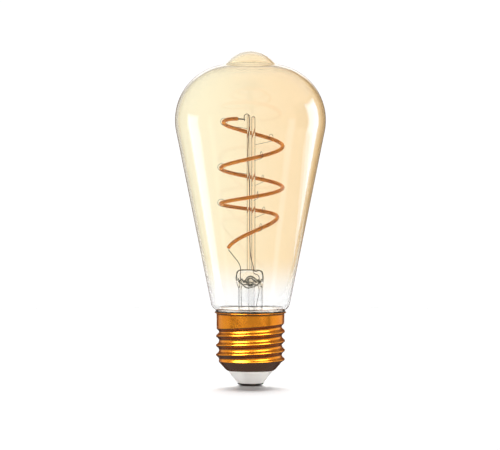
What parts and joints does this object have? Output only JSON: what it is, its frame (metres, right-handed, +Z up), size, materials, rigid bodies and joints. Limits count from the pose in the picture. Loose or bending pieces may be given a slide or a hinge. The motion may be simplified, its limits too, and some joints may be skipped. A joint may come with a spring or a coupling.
{
  "type": "smart light bulb",
  "caption": "Pear-shaped amber glass smart bulb with a spiral LED filament on a glass stem and an E27 brass screw cap.",
  "frame": {"origin": "centre of the flat of the centre contact, at the bottom of the cap", "axes": "+Z up the bulb's axis towards the glass tip, +X to the right of the view that shows the filament's first bend on the left, -Y towards that view"},
  "size_m": [0.0576, 0.0576, 0.1279],
  "materials": {
    "amber_glass": "gloss",
    "clear_glass": "gloss",
    "cap_brass": "polished",
    "insulator_white": "satin",
    "contact_metal": "satin",
    "cement": "matte",
    "filament_silicone": "satin",
    "filament_strip": "satin",
    "led_chip": "gloss",
    "lead_metal": "satin",
    "hook_wire": "satin",
    "seal_copper": "satin",
    "wire_insulation": "satin",
    "pin_brass": "polished",
    "board_green": "satin",
    "capacitor_sleeve": "gloss",
    "ferrite": "satin",
    "resistor_body": "satin",
    "sleeve_black": "satin",
    "package_black": "matte",
    "chip_ceramic": "satin",
    "shield_steel": "satin",
    "sleeve_film": "gloss"
  },
  "bodies": {
    "root": {"glass_envelope": "amber_glass", "screw_shell": "cap_brass", "cap_insulator": "insulator_white", "centre_contact": "contact_metal", "capping_cement": "cement", "stem_flare_tube": "clear_glass", "exhaust_tube": "clear_glass", "support_rod_left": "clear_glass", "support_rod_right": "clear_glass", "filament_coating": "filament_silicone", "filament_substrate": "filament_strip", "led_chips": "led_chip", "filament_terminal_top": "lead_metal", "filament_terminal_bottom": "lead_metal", "long_lead_wire": "lead_metal", "short_lead_wire": "lead_metal", "seal_wire_left": "seal_copper", "seal_wire_right": "seal_copper", "outer_lead_left": "lead_metal", "outer_lead_right": "lead_metal", "live_wire": "wire_insulation", "neutral_wire": "wire_insulation", "header_pins": "pin_brass", "driver_board": "board_green", "smoothing_capacitor": "capacitor_sleeve", "inductor_core": "ferrite", "inductor_winding": "seal_copper", "fuse_resistor": "resistor_body", "fuse_sleeve": "sleeve_black", "bridge_rectifier": "package_black", "driver_chip": "package_black", "chip_resistors": "package_black", "chip_capacitors": "chip_ceramic", "radio_module_board": "board_green", "radio_shield_can": "shield_steel", "radio_antenna": "pin_brass", "insulating_sleeve": "sleeve_film", "support_hook_1": "hook_wire", "support_hook_2": "hook_wire", "support_hook_3": "hook_wire", "support_hook_4": "hook_wire", "support_hook_5": "hook_wire", "support_hook_6": "hook_wire", "support_hook_7": "hook_wire", "support_hook_8": "hook_wire", "support_hook_9": "hook_wire"}
  },
  "joints": []
}
